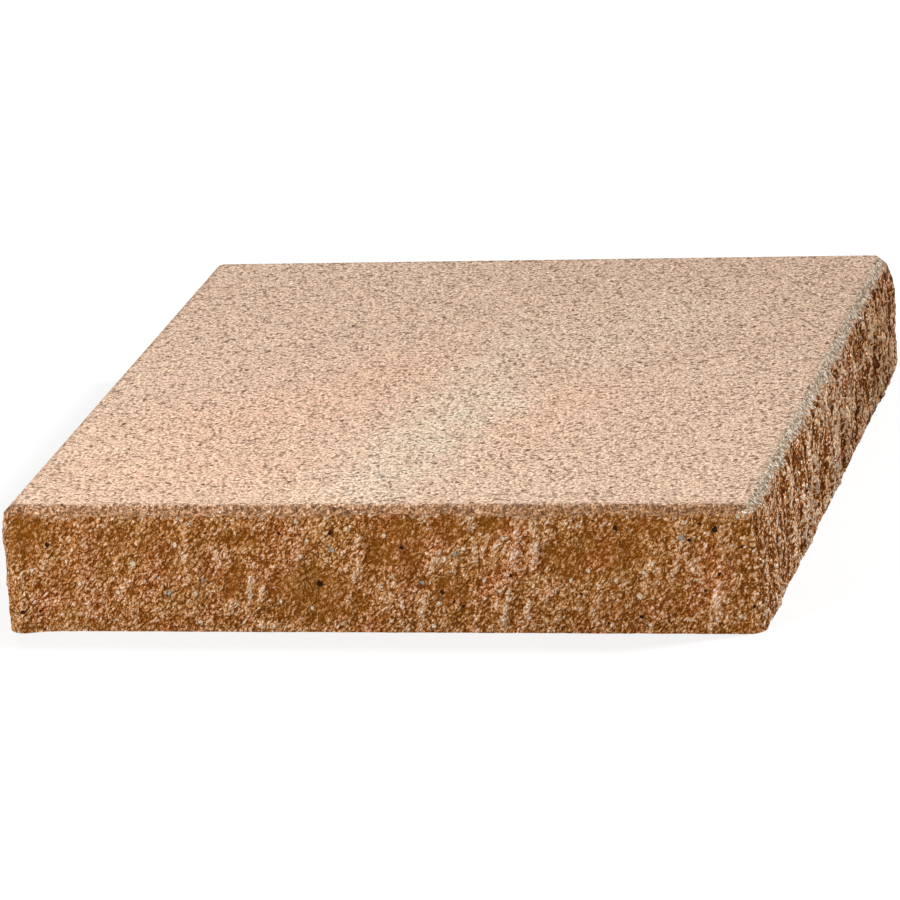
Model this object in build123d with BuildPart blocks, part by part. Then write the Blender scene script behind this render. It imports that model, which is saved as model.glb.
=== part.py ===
from build123d import *

import os
from math import cos, pi, radians, sin, tan

# Millimetres. The origin is the centre of the underside and +Z is up.
# The front face looks along -Y.

# The block between the planes that its rock stays behind. It measures 470 mm over its ridges.
cap_width = 472.0
cap_depth = 472.0
cap_thickness = 80.0

# The four split faces, and the upright corners between them
split_relief = 5.6
corner_radius = 6.0

# The moulded bevel round the top, at its narrowest
top_bevel = 3.5
bevel_angle = 45

# The ridges of the split faces, in sets with even hollows between them: length from ridge to
# ridge, height in which a ridge leans over by that length, and share of the relief.
# A set with a negative height leans the other way.
long_wave = 118.0
long_wave_height = 160.0
long_wave_share = 0.20
middle_wave = 73.0
middle_wave_height = -120.0
middle_wave_share = 0.18
short_wave = 51.0
short_wave_height = 53.0
short_wave_share = 0.14
ridge_wave = 33.0
ridge_wave_height = -150.0
ridge_wave_share = 0.26
comb_wave = 22.0
comb_wave_height = 300.0
comb_wave_share = 0.22

# The rock is calmer close to the bed and to the bevel: how far from each, and how much is left
calm_band = 12.0
calm_share = 0.4

# The spacing of the points that the split faces are drawn through
outline_step = 5.5
course_step = 8.0

# The outline's corners are round enough to keep corner_radius in the deepest hollow
outer_radius = corner_radius + split_relief
corner_x = cap_width / 2 - outer_radius
corner_y = cap_depth / 2 - outer_radius
quarter_arc = outer_radius * pi / 2
outline_length = 4 * (corner_x + corner_y + quarter_arc)

# Each side's straight length, the centre of the corner at its end, and the way it faces
sides = (
    (2 * corner_x, corner_x, -corner_y, -90),
    (2 * corner_y, corner_x, corner_y, 0),
    (2 * corner_x, -corner_x, corner_y, 90),
    (2 * corner_y, -corner_x, -corner_y, 180),
)

waves = (
    (long_wave, long_wave_height, long_wave_share),
    (middle_wave, middle_wave_height, middle_wave_share),
    (short_wave, short_wave_height, short_wave_share),
    (ridge_wave, ridge_wave_height, ridge_wave_share),
    (comb_wave, comb_wave_height, comb_wave_share),
)
all_shares = sum(share for length, rise, share in waves)
mean_depth = 2 / pi


def hollow(distance, height):
    """Depth of the rock behind its outer plane, from 0 to split_relief."""
    # every set has a ridge at the foot of the front left corner, where the rock leans out
    depth = 0
    for length, rise, share in waves:
        # a whole number of hollows goes round the cap, so the outline closes
        turns = round(outline_length / length) * distance / outline_length
        depth += share / all_shares * abs(sin(pi * (turns + height / rise)))
    rock_top = cap_thickness - top_bevel - split_relief / 2
    from_edge = max(0, min(height, rock_top - height))
    calm = calm_share + (1 - calm_share) * min(1, from_edge / calm_band)
    return split_relief * (mean_depth + (depth - mean_depth) * calm)


def outline_point(distance, height):
    """A point of the split wall, at a distance round the cap and a height."""
    left = distance % outline_length
    for straight, centre_x, centre_y, facing in sides:
        if left <= straight + quarter_arc:
            break
        left -= straight + quarter_arc
    # the straight side comes first, then the corner at its end
    before_corner = max(0, straight - left)
    normal = radians(facing) + max(0, left - straight) / outer_radius
    along = radians(facing + 90)
    reach = outer_radius - hollow(distance, height)
    x = centre_x - before_corner * cos(along) + reach * cos(normal)
    y = centre_y - before_corner * sin(along) + reach * sin(normal)
    return (x, y)


course_count = round(cap_thickness / course_step)

# Pier cap: a rock-faced block with a flat bed, a flat top and a bevelled top edge
with BuildPart() as pier_cap:
    for course in range(course_count + 1):
        height = cap_thickness * course / course_count
        with BuildSketch(Plane.XY.offset(height)):
            with BuildLine():
                # one line a side, from the middle of a corner to the middle of the next
                start = -quarter_arc / 2
                for straight, centre_x, centre_y, facing in sides:
                    span = straight + quarter_arc
                    steps = round(span / outline_step)
                    places = [start + span * n / steps for n in range(steps + 1)]
                    points = [Vector(*outline_point(place, height)) for place in places]
                    shares = [n / steps for n in range(steps + 1)]
                    add(Edge.make_spline(points, parameters=shares))
                    start += span
            make_face()
    loft()
    # the bevel planes run straight, so the rock below them ends in an uneven arris
    bevel_rise = cap_thickness - split_relief - top_bevel
    bevel_spread = 2 * bevel_rise * tan(radians(bevel_angle))
    with BuildSketch():
        Rectangle(cap_width + bevel_spread, cap_depth + bevel_spread)
    extrude(amount=cap_thickness, taper=bevel_angle, mode=Mode.INTERSECT)

pier_cap.part.label = "pier_cap"

os.makedirs("parts", exist_ok=True)
export_step(pier_cap.part, "parts/pier_cap.step")
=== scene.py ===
from math import ceil, pi, radians

import bpy
import numpy as np
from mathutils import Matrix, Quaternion, Vector
from mathutils.bvhtree import BVHTree


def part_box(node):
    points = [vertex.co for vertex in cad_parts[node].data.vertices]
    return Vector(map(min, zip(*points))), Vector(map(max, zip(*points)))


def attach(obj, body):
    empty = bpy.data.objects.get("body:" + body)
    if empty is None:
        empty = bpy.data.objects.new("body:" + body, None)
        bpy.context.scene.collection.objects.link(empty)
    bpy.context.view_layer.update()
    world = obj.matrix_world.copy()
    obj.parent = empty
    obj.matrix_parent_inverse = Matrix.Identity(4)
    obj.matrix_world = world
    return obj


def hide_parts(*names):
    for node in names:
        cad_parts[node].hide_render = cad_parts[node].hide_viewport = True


# Metres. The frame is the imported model: origin at the centre of the bed, +Z up,
# and the front face looks along -Y.
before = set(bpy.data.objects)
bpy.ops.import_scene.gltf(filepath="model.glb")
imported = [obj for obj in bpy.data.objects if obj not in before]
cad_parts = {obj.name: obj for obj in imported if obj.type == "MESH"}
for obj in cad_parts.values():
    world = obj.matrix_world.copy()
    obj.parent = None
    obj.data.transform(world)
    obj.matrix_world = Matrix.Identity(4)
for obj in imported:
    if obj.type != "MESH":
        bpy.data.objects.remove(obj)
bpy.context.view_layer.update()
cap_low, cap_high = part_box("pier_cap")
cap_height = cap_high.z
half_x = (cap_high.x - cap_low.x) / 2
half_y = (cap_high.y - cap_low.y) / 2
mm = 0.001

# The outline that the rock is measured in from, and the moulded bevel
corner_radius = 11.5 * mm
bevel_leg = 8.0 * mm
least_bevel = 2.5 * mm
lip_height = 5.0 * mm

# The straight strips where the rock calms down towards its foot and its upper arris
foot_band = 5.0 * mm
arris_band = 5.0 * mm

# How far the rock stands out at two corners, and how wide: the front left one flares
# towards its foot, and the back right one bellies out below its arris
left_flare = (1.2 * mm, 5.2 * mm)
right_belly = 3.4 * mm
belly_width = 18 * mm

# The height below the arris over which those two bulges begin, and the belly's foot and rise
bulge_start = 14 * mm
belly_foot = 15 * mm
belly_rise = 35 * mm

# How far the ridges of the front face lean to the right as they rise, and how much of their
# upright scale the grains keep there and the strands keep on the combed sides
front_lean = 0.4
grain_stretch = 0.78
strand_stretch = 0.18

# The placed shapes rule the front face up to a share of its half width, and fade over a length
placed_reach = 1.02
placed_fade = 12 * mm

# How high each kind of relief stands, and how much more or less on the combed sides
ridge_height, ridge_extra = 1.1 * mm, 2.3 * mm
comb_height, comb_extra = 1.1 * mm, 1.7 * mm
lump_height, lump_extra = 0.9 * mm, -0.4 * mm
grit_height, grit_extra = 1.3 * mm, -0.6 * mm
sand_height = 0.5 * mm
crest_height = 1.2 * mm
scoop_depth = 0.9 * mm

# Standing out is measured over a fine and a broad size, each in steps of its own height
fine_size, fine_step = 2.2 * mm, 0.9 * mm
broad_size, broad_step = 8 * mm, 2.0 * mm

# Smooth scoops of the front face in millimetres: along it from its middle, up from the bed,
# half width and half height
smooth_scoops = (
    (-220, 62, 14, 14),
    (-90, 34, 6, 9),
    (-46, 22, 26, 19),
    (-80, 60, 10, 8),
    (14, 56, 19, 20),
    (40, 30, 12, 12),
    (47, 66, 12, 10),
    (75, 70, 8, 8),
    (118, 48, 15, 13),
    (147, 52, 17, 10),
    (146, 70, 9, 7),
    (171, 70, 10, 7),
)

# Sharp ridges of the front face in millimetres: one end, the other end and half width
front_crests = (
    (-116, 62, -118, 42, 4),
    (-102, 57, -99, 43, 4),
    (-95, 57, -90, 44, 3.5),
    (-85, 74, -87, 54, 4),
    (-76, 43, -84, 17, 4.5),
    (-69, 40, -74, 22, 3.5),
    (-12, 46, -18, 18, 4),
    (42, 68, 38, 45, 3.5),
    (38, 45, 28, 24, 4.5),
    (28, 24, 24, 4, 4),
    (64, 64, 60, 42, 3.5),
    (70, 64, 67, 40, 3),
    (77, 62, 73, 38, 3),
    (90, 74, 86, 40, 4),
    (100, 76, 98, 44, 4),
    (62, 22, 55, 3, 4),
    (80, 22, 74, 2, 4),
    (92, 20, 90, 4, 3.5),
    (136, 32, 130, 8, 4),
    (168, 50, 162, 24, 4),
    (184, 57, 178, 30, 4),
    (190, 52, 196, 32, 3.5),
    (206, 30, 202, 4, 4),
)

# Small holes and stones that show in the front face, in millimetres: along it, up it and
# half width; the holes are painted near black as the shade inside them
front_holes = (
    (-205, 56, 1.5),
    (-224, 14, 1.4),
    (-214, 13, 1.0),
    (-37, 30, 2.1),
    (-26, 64, 1.3),
    (-58, 63, 1.1),
    (17, 54, 1.6),
    (39, 25, 1.5),
    (51, 16, 1.3),
    (83, 37, 1.1),
    (208, 66, 2.2),
    (148, 66, 1.4),
    (192, 59, 1.1),
    (159, 10, 1.4),
    (199, 27, 1.2),
    (229, 17, 1.2),
    (124, 25, 1.0),
)
pale_stones = (
    (-152, 44, 2.3),
    (-187, 31, 1.6),
    (-164, 25, 1.7),
    (-216, 40, 1.5),
    (-124, 56, 1.7),
    (-46, 71, 1.5),
    (-41, 59, 1.4),
    (-46, 49, 1.4),
    (-114, 25, 1.5),
    (-113, 6, 1.6),
    (-62, 19, 1.6),
    (-43, 14, 1.4),
    (55, 54, 1.8),
    (80, 61, 1.6),
    (62, 67, 1.3),
    (75, 27, 1.4),
    (65, 22, 1.3),
    (36, 18, 1.6),
    (32, 4, 1.6),
    (16, 2, 1.6),
    (2, 30, 1.4),
    (159, 23, 2.0),
    (129, 39, 1.5),
    (146, 34, 1.5),
    (163, 38, 1.6),
    (219, 11, 1.5),
    (222, 74, 1.5),
    (164, 5, 1.7),
)
grey_stones = (
    (-131, 25, 1.9),
    (-26, 53, 1.8),
    (49, 50, 1.6),
    (27, 31, 1.3),
    (187, 61, 1.8),
    (-109, 33, 1.2),
)

# Clouds of the top's colour in millimetres: from one place to another, how far they spread
# and, for cream, how strong they are
cream_clouds = (
    ((-8, -190), (8, -118), 36, 0.7),
    ((8, -118), (23, -50), 34, 0.85),
    ((23, -50), (14, 10), 24, 0.6),
    ((14, 10), (30, 70), 26, 0.35),
    ((80, 60), (110, 120), 40, 0.3),
)
pink_clouds = (
    ((-145, -98), (-79, -54), 50),
    ((-79, -54), (-44, 10), 36),
    ((-185, -180), (-90, -170), 44),
    ((60, -110), (80, -45), 28),
)

# The mesh: columns along a side, and rows up the rock, the bevel and the measured chart
side_columns = 344
rock_rows = 52
bevel_rows = 4
chart_rows = 60
columns = 4 * side_columns

# How far in from the sides the square grids of the top and the bed begin, with the rings
# between the bed's outline and its grid, and how uneven the top is
top_inset = 15 * mm
bed_insets = (12 * mm, 20 * mm, 32 * mm)
top_unevenness = 0.12 * mm

# Camera, fitted to the edges in the photograph
camera_place = Vector((0.8751, -3.1028, 1.1884))
camera_look = Vector((-0.25912, 0.90477, -0.33799))
camera_roll = radians(-5.79)
camera_lens = 216.1
camera_sensor = 36.0

# Lamps, each with its place in metres, its width in metres and its power in watts
lamps = (
    ("key", (1.9, 0.5, 1.8), 0.5, 64),
    ("side", (-1.05, -1.7, 1.25), 0.5, 35),
    ("back", (-1.3, 1.9, 0.9), 0.9, 14),
)
floor_brightness = 0.6
floor_glow = 0.72
sky_strength = 0.3

# Colours of the split stone from the hollows up to the crests, plain and rusty; the dark hollow end is
# partly painted shade
ramp_places = (0.0, 0.28, 0.58, 1.0)
plain_stone = ((136, 74, 6), (194, 133, 72), (232, 184, 138), (255, 232, 212))
rusty_stone = ((140, 72, 10), (200, 130, 74), (236, 181, 141), (255, 230, 213))
white = (1.0, 1.0, 1.0, 1.0)
bump_depth = 2.0 * mm


def camera():
    data = bpy.data.cameras.new("camera")
    data.lens = camera_lens
    data.sensor_width = camera_sensor
    data.clip_start = 0.1
    data.clip_end = 50
    shot = bpy.data.objects.new("camera", data)
    bpy.context.scene.collection.objects.link(shot)
    shot.location = camera_place
    shot.rotation_mode = "QUATERNION"
    level = camera_look.to_track_quat("-Z", "Y")
    shot.rotation_quaternion = level @ Quaternion((0, 0, 1), camera_roll)
    bpy.context.scene.camera = shot


# The chart: distance round the cap in columns, height in rows

def outline():
    """Points, outward directions and distances of the columns, and the length round the cap.

    They run side by side, from the middle of one corner to the middle of the next.
    """
    points, outwards, distances = [], [], []
    sides = (
        (Vector((0, -1)), half_y, half_x),
        (Vector((1, 0)), half_x, half_y),
        (Vector((0, 1)), half_y, half_x),
        (Vector((-1, 0)), half_x, half_y),
    )
    start = 0
    for normal, reach, half_side in sides:
        along = Vector((-normal.y, normal.x))
        half_straight = half_side - corner_radius
        half_length = half_straight + corner_radius * pi / 4
        for n in range(side_columns):
            run = (2 * n / side_columns - 1) * half_length
            straight = max(-half_straight, min(half_straight, run))
            turn = (run - straight) / corner_radius
            outward = normal * np.cos(turn) + along * np.sin(turn)
            centre = normal * (reach - corner_radius) + along * straight
            points.append(centre + outward * corner_radius)
            outwards.append(outward)
            distances.append(start + run + half_length)
        start += 2 * half_length
    return np.array(points), np.array(outwards), np.array(distances), start


points, outwards, distances, outline_length = outline()
chart_heights = np.linspace(0, cap_height, chart_rows)
chart_s, chart_z = np.meshgrid(distances, chart_heights, indexing="ij")
front_along = (chart_s - outline_length / 8 + outline_length / 2) % outline_length - outline_length / 2


def blur(field, size):
    """The field smoothed over a size in metres, closed round the cap."""
    for axis, step in ((0, outline_length / columns), (1, cap_height / (chart_rows - 1))):
        reach = int(ceil(3 * size / step))
        weights = np.exp(-0.5 * (np.arange(-reach, reach + 1) * step / size) ** 2)
        weights /= weights.sum()
        mode = "wrap" if axis == 0 else "edge"
        pad = [(reach, reach) if a == axis else (0, 0) for a in (0, 1)]
        padded = np.pad(field, pad, mode=mode)
        length = field.shape[axis]
        field = sum(w * np.take(padded, np.arange(k, k + length), axis) for k, w in enumerate(weights))
    return field


def ease(t):
    """A share from 0 to 1 that starts and ends gently."""
    return t * t * (3 - 2 * t)


def at_least(low, share):
    """A share from 0 to 1 brought into the range from low to 1."""
    return low + (1 - low) * share


def swells(seed, wide, tall, s=chart_s, z=chart_z):
    """Random heights from -1 to 1 that change over a width and a height, closed round the cap."""
    rng = np.random.default_rng(seed)
    count = round(outline_length / wide)
    margin = 4
    levels = ceil(cap_height / tall) + 2 * margin
    lattice = rng.uniform(-1, 1, (count, levels))
    a = s / outline_length * count
    b = np.clip(z / tall + margin, 0, levels - 2)
    i = np.floor(a).astype(int)
    j = np.floor(b).astype(int)
    u = ease(a - i)
    v = ease(b - j)
    low = lattice[i % count, j] * (1 - u) + lattice[(i + 1) % count, j] * u
    high = lattice[i % count, j + 1] * (1 - u) + lattice[(i + 1) % count, j + 1] * u
    return low * (1 - v) + high * v


def lumps(seed, wide, tall, s=chart_s, z=chart_z):
    """Random grains that meet in creases: 1 at the middle of a grain and 0 far from any."""
    rng = np.random.default_rng(seed)
    count = round(outline_length / wide)
    margin = 4
    levels = ceil(cap_height / tall) + 2 * margin
    shift = rng.uniform(0, 1, (2, count, levels))
    size = rng.uniform(0.55, 1.0, (count, levels))
    a = s / outline_length * count
    b = np.clip(z / tall + margin, 1, levels - 2)
    i = np.floor(a).astype(int)
    j = np.floor(b).astype(int)
    highest = np.zeros_like(a)
    for di in (-1, 0, 1):
        for dj in (-1, 0, 1):
            p, q = (i + di) % count, j + dj
            away = (i + di + shift[0, p, q] - a) ** 2 + (j + dj + shift[1, p, q] - b) ** 2
            highest = np.maximum(highest, size[p, q] * (1 - away))
    return highest


def cad_hollow():
    """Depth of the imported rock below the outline, found by looking in from outside."""
    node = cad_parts["pier_cap"]
    tree = BVHTree.FromObject(node, bpy.context.evaluated_depsgraph_get())
    stand_off = 0.02
    lowest = 0.5 * mm
    highest = cap_height - bevel_leg - 0.5 * mm
    levels = np.linspace(lowest, highest, 19)
    depth = np.zeros((columns, len(levels)))
    for n in range(columns):
        outward = Vector((*outwards[n], 0))
        for k, z in enumerate(levels):
            origin = Vector((*points[n], z)) + outward * stand_off
            hit = tree.ray_cast(origin, -outward)
            depth[n, k] = hit[3] - stand_off
    rows = [np.interp(chart_heights, levels, line) for line in depth]
    return blur(np.array(rows), 2 * mm)


def spot(along, up, half_width, half_height):
    """An uneven oval on the front face: 1 in its middle and 0 from its rim outwards."""
    wander = 5 * mm * swells(33, 13 * mm, 11 * mm) + 2.5 * mm * swells(34, 5 * mm, 5 * mm)
    a = (front_along + wander - along * mm) / (half_width * mm)
    b = (chart_z + wander - up * mm) / (half_height * mm)
    return ease(np.clip(1.5 - np.hypot(a, b), 0, 1))


def crest(along, up, end_along, end_up, half_width):
    """A sharp ridge between two places on the front face, lower towards its ends."""
    ax, az, bx, bz = (value * mm for value in (along, up, end_along, end_up))
    dx, dz = bx - ax, bz - az
    share = np.clip(((front_along - ax) * dx + (chart_z - az) * dz) / (dx * dx + dz * dz), 0, 1)
    wander = 2.2 * mm * swells(31, 9 * mm, 7 * mm) + 1.0 * mm * swells(32, 4 * mm, 3 * mm)
    away = np.hypot(front_along + wander - ax - share * dx, chart_z - az - share * dz)
    height = np.clip(1 - away / (half_width * mm), 0, 1)
    return height * (0.4 + 0.6 * np.sin(pi * share)) * (0.75 + 0.35 * swells(35, 5 * mm, 4 * mm))


def combed_side(s):
    """1 on the side faces, where the split ran in upright combs, and 0 on the front and the back."""
    quarter = outline_length / 4
    from_middle = np.abs((s / quarter) % 2 - 1.5)
    return ease(np.clip((0.53 - from_middle) / 0.06, 0, 1))


def split_relief():
    """The split faces' height above the CAD rock, where they are rough, and where a crest runs."""
    lean = front_lean * np.exp(-(front_along / (0.8 * half_x)) ** 4)
    s = chart_s - lean * chart_z
    s = s + swells(1, 60 * mm, 45 * mm) * 6 * mm
    s = s + swells(2, 19 * mm, 15 * mm) * 2.5 * mm
    placed_here = ease(np.clip((placed_reach * half_x - np.abs(front_along)) / placed_fade, 0, 1))
    change = 0.45 * swells(3, 42 * mm, 30 * mm) + 0.38 * swells(4, 17 * mm, 15 * mm)
    rough = np.clip(0.6 + (1 - 0.55 * placed_here) * change, 0, 1)
    scooped = np.zeros_like(chart_s)
    for along, up, half_width, half_height in smooth_scoops:
        scooped = np.maximum(scooped, spot(along, up, half_width, half_height))
    rough = rough * (1 - 0.85 * scooped)
    raised = np.zeros_like(chart_s)
    for along, up, end_along, end_up, half_width in front_crests:
        raised = np.maximum(raised, crest(along, up, end_along, end_up, half_width))
    rough = np.clip(rough + 0.5 * raised, 0, 1)
    combed = combed_side(chart_s)
    ridges = 1 - np.abs(swells(5, 11 * mm, 40 * mm, s))
    combs = 1 - np.abs(swells(6, 6.5 * mm, 26 * mm, s))
    straighter = chart_s + 0.4 * (s - chart_s)
    strands = 1 - np.abs(swells(14, 8 * mm, 110 * mm, straighter))
    threads = 1 - np.abs(swells(15, 4.2 * mm, 60 * mm, straighter))
    ridges = ridges ** 3 * (1 - combed) + strands ** 3 * combed
    combs = combs ** 2 * (1 - combed) + threads ** 2 * combed
    height = (ridge_height + ridge_extra * combed) * ridges * at_least(0.25, np.maximum(rough, combed))
    height += (comb_height + comb_extra * combed) * combs * at_least(0.2, np.maximum(rough, 0.8 * combed))
    height += (lump_height + lump_extra * combed) * lumps(7, 6.5 * mm, 8.5 * mm, s) * at_least(0.15, rough)
    height += (grit_height + grit_extra * combed) * lumps(8, 3.2 * mm, 4.0 * mm, s) * at_least(0.2, rough)
    height += sand_height * swells(9, 1.7 * mm, 1.7 * mm) * at_least(0.5, rough)
    height += crest_height * raised - scoop_depth * scooped
    return height, rough, raised


def rock():
    """The finished rock's depth over the chart, how far it stands out there, and its roughness."""
    height, rough, raised = split_relief()
    carved = cad_hollow()
    level = carved.mean()
    below_arris = cap_height - bevel_leg + level - chart_z
    freedom = at_least(0.25, ease(np.clip(chart_z / foot_band, 0, 1)))
    freedom *= at_least(0.55, ease(np.clip(below_arris / arris_band, 0, 1)))
    hollow = level + (carved - level + height.mean() - height) * freedom
    started = ease(np.clip(below_arris / bulge_start, 0, 1))
    least_flare, most_flare = left_flare
    flare = least_flare + (most_flare - least_flare) * np.clip(below_arris / cap_height, 0, 1)
    belly = right_belly * ease(np.clip((chart_z - belly_foot) / belly_rise, 0, 1))
    for corner, stand in ((0, flare), (outline_length / 2, belly)):
        away = (chart_s - corner + outline_length / 2) % outline_length - outline_length / 2
        hollow -= stand * started * np.exp(-(away / belly_width) ** 2)
    fine = (blur(hollow, fine_size) - hollow) / fine_step
    broad = (blur(hollow, broad_size) - hollow) / broad_step
    combed = combed_side(chart_s)
    stand_out = 0.5 + (0.20 + 0.08 * combed) * fine + (0.08 + 0.08 * combed) * broad + 0.10 * raised
    return hollow, np.clip(stand_out, -0.3, 1.1), rough


def nearest_spot(along, up):
    """Offsets from the nearest hole or stone in its half widths, and which kind it is."""
    across, above, kind = np.full((3, len(along)), far_off)
    nearest = np.full(len(along), spot_reach)
    for number, listed in enumerate((front_holes, pale_stones, grey_stones)):
        for spot_along, spot_up, half_width in listed:
            a = (along - spot_along * mm) / (half_width * mm)
            b = (up - spot_up * mm) / (half_width * mm)
            closer = np.hypot(a, b) < nearest
            nearest[closer] = np.hypot(a, b)[closer]
            across[closer] = a[closer]
            above[closer] = b[closer]
            kind[closer] = number
    return {"spot_across": across, "spot_above": above, "spot_kind": kind}


def along_rows(chart, heights):
    """A chart's values at each column's own heights."""
    rows = np.clip(heights / cap_height * (chart_rows - 1), 0, chart_rows - 1.001)
    low = np.floor(rows).astype(int)
    share = rows - low
    n = np.arange(columns)
    return chart[n, low] * (1 - share) + chart[n, low + 1] * share


# The mesh

def square_ring(cells, inset):
    """Corner to corner points of a square inside the cap, in the columns' order."""
    x, y = half_x - inset, half_y - inset
    corners = ((-x, -y), (x, -y), (x, y), (-x, y))
    ring = []
    for (ax, ay), (bx, by) in zip(corners, corners[1:] + corners[:1]):
        for n in range(cells):
            ring.append((ax + (bx - ax) * n / cells, ay + (by - ay) * n / cells))
    return np.array(ring)


def halfway(outer, inner):
    """A ring of half as many points as outer, midway to inner."""
    filled = np.empty((len(inner) * 2, 2))
    filled[::2] = inner
    filled[1::2] = (inner + np.roll(inner, -1, 0)) / 2
    return (outer[::2] + filled[: len(outer) // 2]) / 2


# What each vertex carries for the materials: how far it stands out, how rough the split is,
# whether the split is combed, the tones of the moulded faces, a painted shade over all faces
# and the bevels' pale grey, partly painted light, whether it is on the bevel, and where the
# nearest hole or stone lies
value_names = (
    "ridge", "rough", "combed", "cream", "pink", "painted_shade", "rim", "grey", "worn",
    "spot_across", "spot_above", "spot_kind",
)
far_off = 9.0
spot_reach = 2.4


def soft_patch(x, y, place, end, size):
    """1 along a line between two places on the top, and less with distance, over a size in millimetres."""
    ax, ay, bx, by = (value * mm for value in (*place, *end))
    dx, dy = bx - ax, by - ay
    share = np.clip(((x - ax) * dx + (y - ay) * dy) / (dx * dx + dy * dy), 0, 1)
    away = np.hypot(x - ax - share * dx, y - ay - share * dy)
    return np.exp(-(away / (size * mm)) ** 2)


def moulded_tones(xyz, rim):
    """The soft clouds of colour on the moulded faces, a painted shade that is lighter at the front left and
    darker towards the back and the right, and the pale grey of the right and back bevels, partly painted
    light.
    """
    x, y = xyz[:, 0], xyz[:, 1]
    across, back = x / half_x, y / half_y
    cream = np.zeros(len(xyz))
    for place, end, size, strength in cream_clouds:
        cream = np.maximum(cream, strength * soft_patch(x, y, place, end, size))
    pink = 0.3 + 0.15 * back * across
    for place, end, size in pink_clouds:
        pink = np.maximum(pink, 0.3 + 0.45 * soft_patch(x, y, place, end, size))
    # painted shade: lighter towards the front left, darker towards the back and the right
    painted_shade = 0.55 - 0.3 * across - 0.35 * back
    # the right and back bevels are marked for a paler grey, partly their own tone and partly painted light
    grey = np.clip((np.maximum(across, back) - 0.945) / 0.025, 0, 1)
    return {"cream": cream, "pink": pink, "painted_shade": np.clip(painted_shade, 0, 1), "rim": rim, "grey": grey}


class Block:
    """Vertices, faces and the values that they carry, gathered ring by ring."""

    def __init__(self):
        self.places = []
        self.values = {name: [] for name in value_names}
        self.faces = []
        self.uvs = []
        self.slots = []

    def ring(self, xyz, **given):
        first = len(self.places)
        self.places.extend(map(tuple, xyz))
        for name, values in self.values.items():
            usual = far_off if name.startswith("spot") else 0.5
            values.extend(np.broadcast_to(given.get(name, usual), len(xyz)))
        return np.arange(first, first + len(xyz))

    def face(self, corners, uv, slot):
        self.faces.append([int(c) for c in corners])
        self.uvs.extend(uv)
        self.slots.append(slot)


# The unwrapped sheet, in metres: the top, four strips above it and the bed beside it
sheet_side = 0.824
sheet_gap = 0.004
strip_height = 0.0855
bed_share = 0.72
moulded, split = 0, 1


def flat_uv(block, corners, bed=False):
    share = bed_share if bed else 1.0
    shift = 2 * half_x + sheet_gap if bed else 0.0
    uv = []
    for c in corners:
        x, y = block.places[c][:2]
        uv.append((shift + (x + half_x) * share, (y + half_y) * share))
    return uv


def wall(block, lower, upper, low_v, high_v, slot):
    """A band of four-sided faces between two rings, with its place on the four strips."""
    for n in range(columns):
        m = (n + 1) % columns
        side, run = divmod(n, side_columns)
        step = 2 * half_x / side_columns
        left, right = run * step, (run + 1) * step
        base = 2 * half_y + sheet_gap + side * (strip_height + sheet_gap)
        uv = ((left, base + low_v), (right, base + low_v), (right, base + high_v), (left, base + high_v))
        block.face((lower[n], lower[m], upper[m], upper[n]), uv, slot)


def flat_faces(block, corner_lists, bed):
    for corners in corner_lists:
        if bed:
            corners = corners[::-1]
        block.face(corners, flat_uv(block, corners, bed), moulded)


def thin_out(block, outer, inner, bed):
    """Faces from a ring to one with half as many points inside it."""
    fine, coarse = len(outer), len(inner)
    made = []
    for n in range(coarse):
        a, b, c = outer[2 * n], outer[2 * n + 1], outer[(2 * n + 2) % fine]
        p, q = inner[n], inner[(n + 1) % coarse]
        made += [(a, b, p), (b, q, p), (b, c, q)]
    flat_faces(block, made, bed)


def square_sheet(block, cells, inset, z, bed, unevenness=0.0):
    """A square grid of faces, and its border in the columns' order."""
    x = np.linspace(-half_x + inset, half_x - inset, cells + 1)
    y = np.linspace(-half_y + inset, half_y - inset, cells + 1)
    gx, gy = np.meshgrid(x, y, indexing="ij")
    lift = unevenness * np.random.default_rng(21).uniform(-1, 1, gx.shape)
    lift[[0, -1], :] = 0
    lift[:, [0, -1]] = 0
    xyz = np.stack([gx, gy, z + lift], -1).reshape(-1, 3)
    index = block.ring(xyz, worn=0.0, **moulded_tones(xyz, 0.0)).reshape(cells + 1, cells + 1)
    made = []
    for i in range(cells):
        for j in range(cells):
            made.append((index[i, j], index[i + 1, j], index[i + 1, j + 1], index[i, j + 1]))
    flat_faces(block, made, bed)
    return np.concatenate([index[:-1, 0], index[-1, :-1], index[:0:-1, -1], index[0, :0:-1]])


def upright(place, z):
    return np.column_stack([place, np.broadcast_to(z, len(place))])


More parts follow.
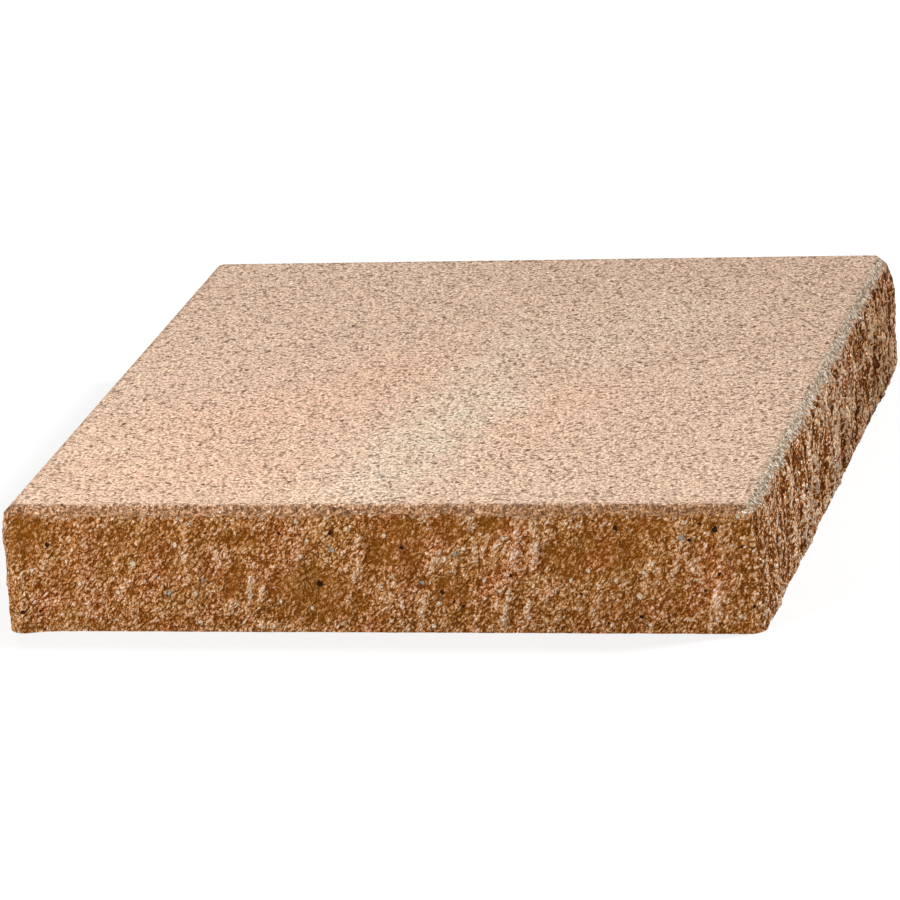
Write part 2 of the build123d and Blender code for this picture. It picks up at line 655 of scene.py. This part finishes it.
def build_cap():
    hollow, ridge, rough = rock()
    block = Block()
    # the arris is where the rock meets the straight plane of the bevel, found in a few rounds
    arris = np.full(columns, cap_height - bevel_leg)
    for _ in range(4):
        depth = np.minimum(along_rows(hollow, arris), bevel_leg - least_bevel)
        arris = cap_height - bevel_leg + depth
    rings = []
    for row in range(rock_rows + 1):
        z = arris * row / rock_rows
        d = along_rows(hollow, z)
        if row == rock_rows:
            d = depth
        place = points - outwards * d[:, None]
        xyz = upright(place, z)
        tones = moulded_tones(xyz, 1.0)
        tones.update(ridge=along_rows(ridge, z), rough=along_rows(rough, z))
        tones["worn"] = 0.5 + 0.5 * np.clip((arris - z) / lip_height, 0, 1)
        tones.update(combed=combed_side(distances), **nearest_spot(front_along[:, 0], z))
        rings.append(block.ring(xyz, **tones))
    rock_face = cap_height - bevel_leg / 2
    for row in range(rock_rows):
        low_v = rock_face * row / rock_rows
        high_v = rock_face * (row + 1) / rock_rows
        wall(block, rings[row], rings[row + 1], low_v, high_v, split)
    bevel_face = strip_height - rock_face
    lower = rings[-1]
    for row in range(1, bevel_rows + 1):
        share = row / bevel_rows
        d = depth + (bevel_leg - depth) * share
        inner = points - outwards * d[:, None]
        xyz = upright(inner, cap_height - bevel_leg + d)
        tones = moulded_tones(xyz, 1.0 if row < bevel_rows else 0.5)
        upper = block.ring(xyz, worn=0.5 * (1 - share), **tones)
        low_v = rock_face + bevel_face * (row - 1) / bevel_rows
        wall(block, lower, upper, low_v, rock_face + bevel_face * share, moulded)
        lower = upper
    # top: the rings thin out towards a square grid
    cells = side_columns // 4
    border = square_sheet(block, cells, top_inset, cap_height, False, top_unevenness)
    middle = upright(halfway(inner, square_ring(cells, top_inset)), cap_height)
    middle = block.ring(middle, worn=0.0, **moulded_tones(middle, 0.0))
    thin_out(block, lower, middle, False)
    thin_out(block, middle, border, False)
    # bed: the same, over two rings and to a coarser grid
    ring_cells = cells
    cells = side_columns // 8
    first_inset, second_inset, grid_inset = bed_insets
    foot = points - outwards * hollow[:, :1]
    border = square_sheet(block, cells, grid_inset, 0.0, True)
    second = halfway(halfway(foot, square_ring(ring_cells, second_inset)), square_ring(cells, grid_inset))
    first = halfway(foot, square_ring(ring_cells, first_inset))
    first = block.ring(upright(first, 0.0), rim=0.0, worn=0.0)
    second = block.ring(upright(second, 0.0), rim=0.0, worn=0.0)
    thin_out(block, rings[0], first, True)
    thin_out(block, first, second, True)
    thin_out(block, second, border, True)
    return block


def cap_piece(materials):
    block = build_cap()
    mesh = bpy.data.meshes.new("cast_cap")
    mesh.from_pydata(block.places, [], block.faces)
    for name, values in block.values.items():
        layer = mesh.attributes.new(name, "FLOAT", "POINT")
        layer.data.foreach_set("value", np.array(values, np.float32))
    uv = mesh.uv_layers.new(name="OFBake")
    uv.data.foreach_set("uv", (np.array(block.uvs, np.float32) / sheet_side).ravel())
    for material in materials:
        mesh.materials.append(material)
    mesh.polygons.foreach_set("material_index", block.slots)
    mesh.shade_smooth()
    mesh.set_sharp_from_angle(angle=radians(42))
    mesh.validate()
    piece = bpy.data.objects.new("cast_cap", mesh)
    bpy.context.scene.collection.objects.link(piece)
    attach(piece, "root")
    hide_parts("pier_cap")
    return piece


# Materials

def rgb(red, green, blue):
    """A colour as it shows on a screen, 0 to 255, as a shader takes it."""
    channels = [c / 255 for c in (red, green, blue)]
    return (*[c / 12.92 if c <= 0.04045 else ((c + 0.055) / 1.055) ** 2.4 for c in channels], 1.0)


class Shader:
    """A stone material and short ways to add nodes to it."""

    def __init__(self, name):
        self.material = bpy.data.materials.new(name)
        self.material.use_nodes = True
        self.tree = self.material.node_tree
        self.stone = self.tree.nodes["Principled BSDF"]
        self.place = self.add("ShaderNodeTexCoord").outputs["Object"]

    def add(self, kind, **settings):
        made = self.tree.nodes.new(kind)
        for key, value in settings.items():
            setattr(made, key, value)
        return made

    def feed(self, socket, value):
        if isinstance(value, bpy.types.NodeSocket):
            self.tree.links.new(value, socket)
        else:
            socket.default_value = value

    def noise(self, size, detail=2.0, roughness=0.5, distortion=0.0):
        made = self.add("ShaderNodeTexNoise")
        self.feed(made.inputs["Vector"], self.place)
        self.feed(made.inputs["Scale"], 1 / size)
        self.feed(made.inputs["Detail"], detail)
        self.feed(made.inputs["Roughness"], roughness)
        self.feed(made.inputs["Distortion"], distortion)
        return made.outputs["Fac"]

    def cells(self, size, seed=0.0):
        """Distance from the middle of a grain, and the grain's own random number."""
        made = self.add("ShaderNodeTexVoronoi", voronoi_dimensions="4D")
        self.feed(made.inputs["Vector"], self.place)
        self.feed(made.inputs["W"], seed)
        self.feed(made.inputs["Scale"], 1 / size)
        split_colour = self.add("ShaderNodeSeparateColor")
        self.feed(split_colour.inputs["Color"], made.outputs["Color"])
        return made.outputs["Distance"], split_colour.outputs["Red"], split_colour.outputs["Green"]

    def spread(self, value, low, high, to_low=0.0, to_high=1.0):
        made = self.add("ShaderNodeMapRange")
        given = {"Value": value, "From Min": low, "From Max": high, "To Min": to_low, "To Max": to_high}
        for key, number in given.items():
            self.feed(made.inputs[key], number)
        return made.outputs["Result"]

    def sum(self, operation, a, b):
        made = self.add("ShaderNodeMath", operation=operation)
        self.feed(made.inputs[0], a)
        self.feed(made.inputs[1], b)
        return made.outputs[0]

    def mix(self, share, a, b, blend="MIX"):
        made = self.add("ShaderNodeMix", data_type="RGBA", blend_type=blend)
        self.feed(made.inputs["Factor"], share)
        self.feed(made.inputs[6], a)
        self.feed(made.inputs[7], b)
        return made.outputs[2]

    def times(self, colour, factor):
        return self.mix(1.0, colour, factor, "MULTIPLY")

    def add_up(self, *parts):
        total = parts[0]
        for part in parts[1:]:
            total = self.sum("ADD", total, part)
        return total

    def distort(self, size, amount):
        """Object coordinates pushed about at random, so that grains are uneven."""
        made = self.add("ShaderNodeTexNoise")
        self.feed(made.inputs["Vector"], self.place)
        self.feed(made.inputs["Scale"], 1 / size)
        middle = self.add("ShaderNodeVectorMath", operation="SUBTRACT")
        self.feed(middle.inputs[0], made.outputs["Color"])
        middle.inputs[1].default_value = (0.5, 0.5, 0.5)
        scaled = self.add("ShaderNodeVectorMath", operation="SCALE")
        self.feed(scaled.inputs[0], middle.outputs[0])
        scaled.inputs["Scale"].default_value = 2 * amount
        moved = self.add("ShaderNodeVectorMath", operation="ADD")
        self.feed(moved.inputs[0], self.place)
        self.feed(moved.inputs[1], scaled.outputs[0])
        return moved.outputs[0]

    def lean(self, place):
        """Coordinates that stretch grains upwards, leaning like the ridges of the front face."""
        parts = self.add("ShaderNodeSeparateXYZ")
        self.feed(parts.inputs[0], place)
        shear = self.sum("MULTIPLY", parts.outputs["Z"], -front_lean)
        moved = self.add("ShaderNodeCombineXYZ")
        self.feed(moved.inputs["X"], self.sum("ADD", parts.outputs["X"], shear))
        self.feed(moved.inputs["Y"], parts.outputs["Y"])
        self.feed(moved.inputs["Z"], self.sum("MULTIPLY", parts.outputs["Z"], grain_stretch))
        return moved.outputs[0]

    def strands(self, size):
        """Noise in long upright strands, from 0 to 1."""
        shape = self.add("ShaderNodeMapping")
        self.feed(shape.inputs["Vector"], self.place)
        shape.inputs["Scale"].default_value = (1.0, 1.0, strand_stretch / grain_stretch)
        made = self.add("ShaderNodeTexNoise")
        self.feed(made.inputs["Vector"], shape.outputs[0])
        self.feed(made.inputs["Scale"], 1 / size)
        self.feed(made.inputs["Detail"], 3.0)
        self.feed(made.inputs["Roughness"], 0.65)
        return made.outputs["Fac"]

    def ramp(self, value, colours):
        made = self.add("ShaderNodeValToRGB")
        self.feed(made.inputs["Fac"], value)
        elements = made.color_ramp.elements
        while len(elements) < len(ramp_places):
            elements.new(1.0)
        for element, place, colour in zip(elements, ramp_places, colours):
            element.position = place
            element.color = rgb(*colour)
        return made.outputs["Color"]

    def attribute(self, name):
        return self.add("ShaderNodeAttribute", attribute_name=name).outputs["Fac"]

    def broken(self):
        """1 where the split has taken the surface and 0 where it is as moulded, with an uneven border."""
        ragged = self.spread(self.noise(0.0034, 3.0, 0.65), 0.3, 0.7, -0.34, 0.34)
        return self.spread(self.sum("ADD", self.attribute("worn"), ragged), 0.42, 0.56)

    def placed_spots(self):
        """A mask of the placed holes and stones, and 0 for a hole, 1 for pale and 2 for grey."""
        offset = self.add("ShaderNodeCombineXYZ")
        self.feed(offset.inputs["X"], self.attribute("spot_across"))
        self.feed(offset.inputs["Y"], self.attribute("spot_above"))
        away = self.add("ShaderNodeVectorMath", operation="LENGTH")
        self.feed(away.inputs[0], offset.outputs[0])
        ragged = self.spread(self.noise(0.0016), 0.3, 0.7, -0.35, 0.35)
        uneven = self.sum("ADD", away.outputs["Value"], ragged)
        return self.spread(uneven, 0.98, 0.72), self.attribute("spot_kind")

    def finish(self, colour, height, roughness):
        bump = self.add("ShaderNodeBump")
        self.feed(bump.inputs["Height"], height)
        self.feed(bump.inputs["Distance"], bump_depth)
        self.feed(self.stone.inputs["Base Color"], colour)
        self.feed(self.stone.inputs["Roughness"], roughness)
        self.feed(self.stone.inputs["Specular IOR Level"], 0.12)
        self.feed(self.stone.inputs["Normal"], bump.outputs["Normal"])
        return self.material


def grain_pick(shader, size, seed, share, radius):
    """A mask of the few grains of a size that a share picks, and the grain's tint number."""
    distance, number, tint = shader.cells(size, seed)
    chosen = shader.spread(number, 1 - share - 0.01, 1 - share)
    inside = shader.spread(distance, radius, radius * 0.7)
    return shader.sum("MULTIPLY", chosen, inside), tint


def moulded_stone():
    """Dry-cast face: cream and pink sand with fine open pits, with painted shade in the pits and holes and
    towards the back and the right, and painted light and shade on the bevels.
    """
    s = Shader("moulded_stone")
    s.place = s.distort(0.004, 0.0008)
    colour = s.mix(s.attribute("pink"), rgb(232, 201, 174), rgb(240, 195, 166))
    cloud = s.sum("MULTIPLY", s.attribute("cream"), s.spread(s.noise(0.018, 3.0, 0.6), 0.3, 0.6, 0.25, 1.0))
    colour = s.mix(cloud, colour, rgb(238, 216, 188))
    # the bevels: partly their own browner tone, partly painted shade that makes the front bevel darker,
    # most at its right end, and painted light that makes the right and back bevels pale grey
    front_edge = s.mix(s.spread(s.attribute("painted_shade"), 0.6, 1.0), rgb(174, 128, 90), rgb(190, 144, 108))
    edge = s.mix(s.attribute("grey"), front_edge, rgb(206, 188, 166))
    colour = s.mix(s.attribute("rim"), colour, edge)
    # painted shade across the moulded faces, lighter at the front left and darker at the back right
    colour = s.times(colour, s.spread(s.attribute("painted_shade"), 0.0, 1.0, 0.78, 1.11))
    grain = s.noise(0.0019, 3.0, 0.7)
    tone = s.mix(s.spread(grain, 0.35, 0.65), (0.44, 0.34, 0.22, 1.0), (1.42, 1.55, 1.70, 1.0))
    colour = s.times(colour, tone)
    crisp = s.spread(s.noise(0.0013, 2.0, 0.6), 0.36, 0.64)
    crisp = s.mix(crisp, (0.42, 0.27, 0.13, 1.0), (1.50, 1.62, 1.74, 1.0))
    colour = s.mix(s.attribute("rim"), colour, s.times(colour, crisp))
    # painted shade in the fine pits, which the bump also sinks
    shaded_pit = s.spread(s.noise(0.0030, 2.0, 0.6), 0.46, 0.29)
    colour = s.mix(s.sum("MULTIPLY", shaded_pit, 0.8), colour, rgb(124, 84, 58))
    brown = s.mix(s.spread(grain, 0.35, 0.65), rgb(104, 56, 16), rgb(216, 160, 108))
    colour = s.mix(s.broken(), colour, brown)
    # small holes painted dark brown as the shade inside them, also sunk by the bump
    hole = grain_pick(s, 0.0044, 7.0, 0.24, 0.36)[0]
    colour = s.mix(s.sum("MULTIPLY", hole, 0.75), colour, rgb(104, 62, 36))
    glint = grain_pick(s, 0.003, 3.0, 0.12, 0.28)[0]
    colour = s.mix(glint, colour, rgb(252, 245, 232))
    height = s.sum("SUBTRACT", s.sum("MULTIPLY", grain, 1.3), shaded_pit)
    height = s.sum("SUBTRACT", height, hole)
    return s.finish(colour, height, 0.92)


def split_stone():
    """Split face: ochre sand in the hollows, pink cement on the ridges, and scattered grains, with painted
    shade in the hollows, creases and holes, painted light on the crests, and painted light and shade from
    the near to the far end of the sides.
    """
    s = Shader("split_stone")
    s.place = s.lean(s.distort(0.005, 0.0016))
    ridge = s.attribute("ridge")
    rough = s.attribute("rough")
    crease, number = s.cells(0.0019, 2.0)[:2]
    small_crease, small_number = s.cells(0.0011, 4.0)[:2]
    sand = s.noise(0.0021, 3.0, 0.7)
    patch = s.spread(s.noise(0.020, 2.0), 0.46, 0.7)
    combed = s.attribute("combed")
    strand = s.sum("MULTIPLY", s.spread(s.strands(0.0030), 0.3, 0.7, -0.42, 0.42), combed)
    # how far a grain stands out decides its colour, from ochre in a hollow to pink on a crest: partly the
    # stone's own colour, partly painted shade in the hollows and creases and painted light on the crests
    lifted_and_shaded = s.add_up(
        ridge,
        s.spread(sand, 0.3, 0.7, -0.32, 0.32),
        s.spread(number, 0.0, 1.0, -0.24, 0.24),
        s.spread(crease, 0.15, 0.75, 0.16, -0.36),
        s.spread(rough, 0.0, 1.0, -0.22, 0.14),
        s.spread(small_number, 0.0, 1.0, -0.26, 0.26),
        s.spread(small_crease, 0.1, 0.8, 0.14, -0.26),
        strand,
    )
    # a smooth scoop is darker and calmer than the rough rock round it, but not on the combed sides
    lively = s.sum("MAXIMUM", rough, combed)
    painted_shade = s.attribute("painted_shade")
    # painted light and shade: the combed sides' light strands and dark hollows stand out more towards their
    # far end, where the painted shade is low
    comb_contrast = s.spread(painted_shade, 0.0, 1.0, 1.4, 0.1)
    contrast = s.sum("MULTIPLY", comb_contrast, combed)
    contrast = s.sum("ADD", s.spread(lively, 0.0, 0.6, 0.45, 0.95), contrast)
    lifted_and_shaded = s.sum("MULTIPLY", s.sum("SUBTRACT", lifted_and_shaded, 0.42), contrast)
    lifted_and_shaded = s.add_up(lifted_and_shaded, s.spread(lively, 0.0, 0.6, 0.26, 0.46), s.sum("MULTIPLY", combed, 0.17))
    colour = s.mix(patch, s.ramp(lifted_and_shaded, plain_stone), s.ramp(lifted_and_shaded, rusty_stone))
    # painted shade: the deepest hollows and the creases between grains are darkened
    colour = s.times(colour, s.spread(lifted_and_shaded, -0.7, 0.0, 0.45, 1.0))
    colour = s.times(colour, s.spread(small_crease, 0.1, 0.8, 1.15, 0.75))
    colour = s.times(colour, s.mix(s.spread(lively, 0.0, 0.6), (1.0, 1.11, 1.45, 1.0), white))
    # painted light and shade: brighter on the front and the near end of the sides, darker towards the back
    # right, and browner there on the combed sides
    far_end = s.mix(combed, (0.94, 0.94, 0.94, 1.0), (0.84, 0.69, 0.51, 1.0))
    near_end = s.mix(combed, (1.10, 1.10, 1.10, 1.0), (1.24, 1.16, 1.02, 1.0))
    colour = s.times(colour, s.mix(s.spread(painted_shade, 0.0, 0.35), far_end, near_end))
    lip = s.mix(s.spread(sand, 0.35, 0.65), rgb(136, 92, 58), rgb(226, 190, 158))
    colour = s.mix(s.broken(), lip, colour)
    pale, tint = grain_pick(s, 0.0044, 1.0, 0.10, 0.30)
    colour = s.mix(pale, colour, s.mix(tint, rgb(244, 218, 186), rgb(200, 190, 172)))
    # dark grains are small holes, painted near black as the shade inside them and sunk by the bump
    dark = grain_pick(s, 0.0038, 5.0, 0.04, 0.26)[0]
    colour = s.mix(dark, colour, rgb(40, 18, 8))
    spot, kind = s.placed_spots()
    stone = s.mix(s.sum("SUBTRACT", kind, 1.0), rgb(230, 206, 174), rgb(170, 166, 152))
    # a placed hole is painted near black as the shade inside it; the stones keep their own pale and grey
    # colours
    colour = s.mix(spot, colour, s.mix(kind, rgb(44, 22, 10), stone))
    height = s.sum("SUBTRACT", s.sum("MULTIPLY", sand, 0.9), crease)
    height = s.sum("SUBTRACT", height, s.sum("MULTIPLY", small_crease, 0.5))
    height = s.sum("SUBTRACT", s.sum("ADD", height, s.sum("MULTIPLY", pale, 0.4)), dark)
    height = s.sum("MULTIPLY", height, s.spread(rough, 0.0, 0.6, 0.6, 1.0))
    height = s.sum("ADD", height, s.sum("MULTIPLY", strand, 2.8))
    height = s.sum("ADD", height, s.sum("MULTIPLY", spot, s.spread(kind, 0.0, 1.0, -1.5, 0.5)))
    return s.finish(colour, height, 0.9)


# Floor, backdrop and light

def seen_directly(tree):
    """1 for what the camera, a mirror or glass shows, and 0 for light that falls on the object."""
    path = tree.nodes.new("ShaderNodeLightPath")
    share = path.outputs["Is Camera Ray"]
    for name in ("Is Glossy Ray", "Is Transmission Ray"):
        either = tree.nodes.new("ShaderNodeMath")
        either.operation = "MAXIMUM"
        tree.links.new(share, either.inputs[0])
        tree.links.new(path.outputs[name], either.inputs[1])
        share = either.outputs[0]
    return share


def white_floor(brightness, lift):
    """A floor that looks white with a light shadow, and throws back only some of the light."""
    mesh = bpy.data.meshes.new("floor")
    far = 12.0
    mesh.from_pydata([(-far, -far, 0), (far, -far, 0), (far, far, 0), (-far, far, 0)], [], [(0, 1, 2, 3)])
    floor = bpy.data.objects.new("floor", mesh)
    floor.location.z = -0.3 * mm
    bpy.context.scene.collection.objects.link(floor)
    material = bpy.data.materials.new("floor_white")
    material.use_nodes = True
    tree = material.node_tree
    shader = tree.nodes["Principled BSDF"]
    shader.inputs["Base Color"].default_value = (brightness, brightness, brightness, 1)
    shader.inputs["Roughness"].default_value = 1.0
    shader.inputs["Specular IOR Level"].default_value = 0.0
    matt = tree.nodes.new("ShaderNodeBsdfDiffuse")
    matt.inputs["Color"].default_value = white
    glow = tree.nodes.new("ShaderNodeEmission")
    glow.inputs["Color"].default_value = white
    glow.inputs["Strength"].default_value = 1.0
    shown = tree.nodes.new("ShaderNodeMixShader")
    shown.inputs[0].default_value = lift
    tree.links.new(matt.outputs[0], shown.inputs[1])
    tree.links.new(glow.outputs[0], shown.inputs[2])
    either = tree.nodes.new("ShaderNodeMixShader")
    tree.links.new(seen_directly(tree), either.inputs[0])
    tree.links.new(shader.outputs[0], either.inputs[1])
    tree.links.new(shown.outputs[0], either.inputs[2])
    tree.links.new(either.outputs[0], tree.nodes["Material Output"].inputs["Surface"])
    mesh.materials.append(material)


def white_world(strength):
    world = bpy.data.worlds.new("white")
    world.use_nodes = True
    bpy.context.scene.world = world
    tree = world.node_tree
    light = tree.nodes["Background"]
    light.inputs["Color"].default_value = white
    light.inputs["Strength"].default_value = strength
    shown = tree.nodes.new("ShaderNodeBackground")
    shown.inputs["Strength"].default_value = 1.0
    shown.inputs["Color"].default_value = white
    mix = tree.nodes.new("ShaderNodeMixShader")
    tree.links.new(seen_directly(tree), mix.inputs[0])
    tree.links.new(light.outputs[0], mix.inputs[1])
    tree.links.new(shown.outputs[0], mix.inputs[2])
    tree.links.new(mix.outputs[0], tree.nodes["World Output"].inputs["Surface"])


def lamp(name, place, size, power):
    data = bpy.data.lights.new(name, "AREA")
    data.shape = "DISK"
    data.size = size
    data.energy = power
    light = bpy.data.objects.new(name, data)
    bpy.context.scene.collection.objects.link(light)
    light.location = place
    light.rotation_mode = "QUATERNION"
    light.rotation_quaternion = (-Vector(place)).to_track_quat("-Z", "Y")


bpy.context.scene.view_settings.view_transform = "Standard"
camera()
white_floor(floor_brightness, floor_glow)
white_world(sky_strength)
for name, place, size, power in lamps:
    lamp(name, place, size, power)
cap = cap_piece([moulded_stone(), split_stone()])
